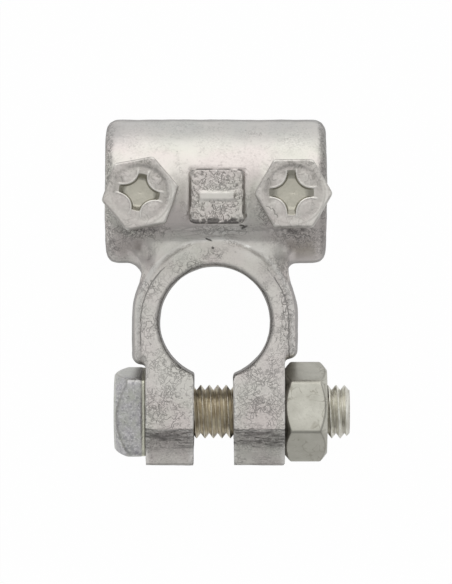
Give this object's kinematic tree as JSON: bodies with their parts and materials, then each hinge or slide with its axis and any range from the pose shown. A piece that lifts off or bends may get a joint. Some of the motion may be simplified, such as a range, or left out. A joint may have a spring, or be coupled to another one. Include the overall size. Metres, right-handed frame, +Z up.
{
  "type": "battery terminal clamp",
  "caption": "Cast clamp for a battery post: a split ring closed by a cross bolt and nut, with a cable tube behind it whose screws grip a bared cable.",
  "frame": {"origin": "on the axis of the post bore, in the plane of the underside that faces the battery", "axes": "+X along the clamp bolt from its head to the nut, +Y from the jaws to the cable tube, +Z up out of the battery along the post"},
  "size_m": [0.0362, 0.051, 0.0278],
  "materials": {
    "cast_terminal": "die-cast zinc alloy, satin grey",
    "plated_bolt": "zinc-plated steel",
    "plated_nut": "zinc-plated steel",
    "plated_screw": "zinc-plated steel"
  },
  "bodies": {
    "terminal": {"terminal_body": "cast_terminal"},
    "bolt": {"clamp_bolt": "plated_bolt"},
    "nut": {"clamp_nut": "plated_nut"},
    "left_screw": {"left_cable_screw": "plated_screw"},
    "right_screw": {"right_cable_screw": "plated_screw"}
  },
  "joints": [
    {"name": "nut_turn", "type": "hinge", "parent": "terminal", "child": "nut", "pos_m": [0.0134, -0.0133, 0.008], "axis": [1, 0, 0], "range_deg": [0, 1440]},
    {"name": "bolt_slide", "type": "slide", "parent": "terminal", "child": "bolt", "axis": [-1, 0, 0], "range_m": [0, 0.005]},
    {"name": "left_cable_screw_travel", "type": "slide", "parent": "terminal", "child": "left_screw", "axis": [0, 0, 1], "range_m": [-0.0045, 0.002]},
    {"name": "right_cable_screw_travel", "type": "slide", "parent": "terminal", "child": "right_screw", "axis": [0, 0, 1], "range_m": [-0.0045, 0.002]}
  ],
  "couplings": [
    {"joint": "bolt_slide", "follows": "nut_turn", "m_per_rad": 0.00019894}
  ]
}
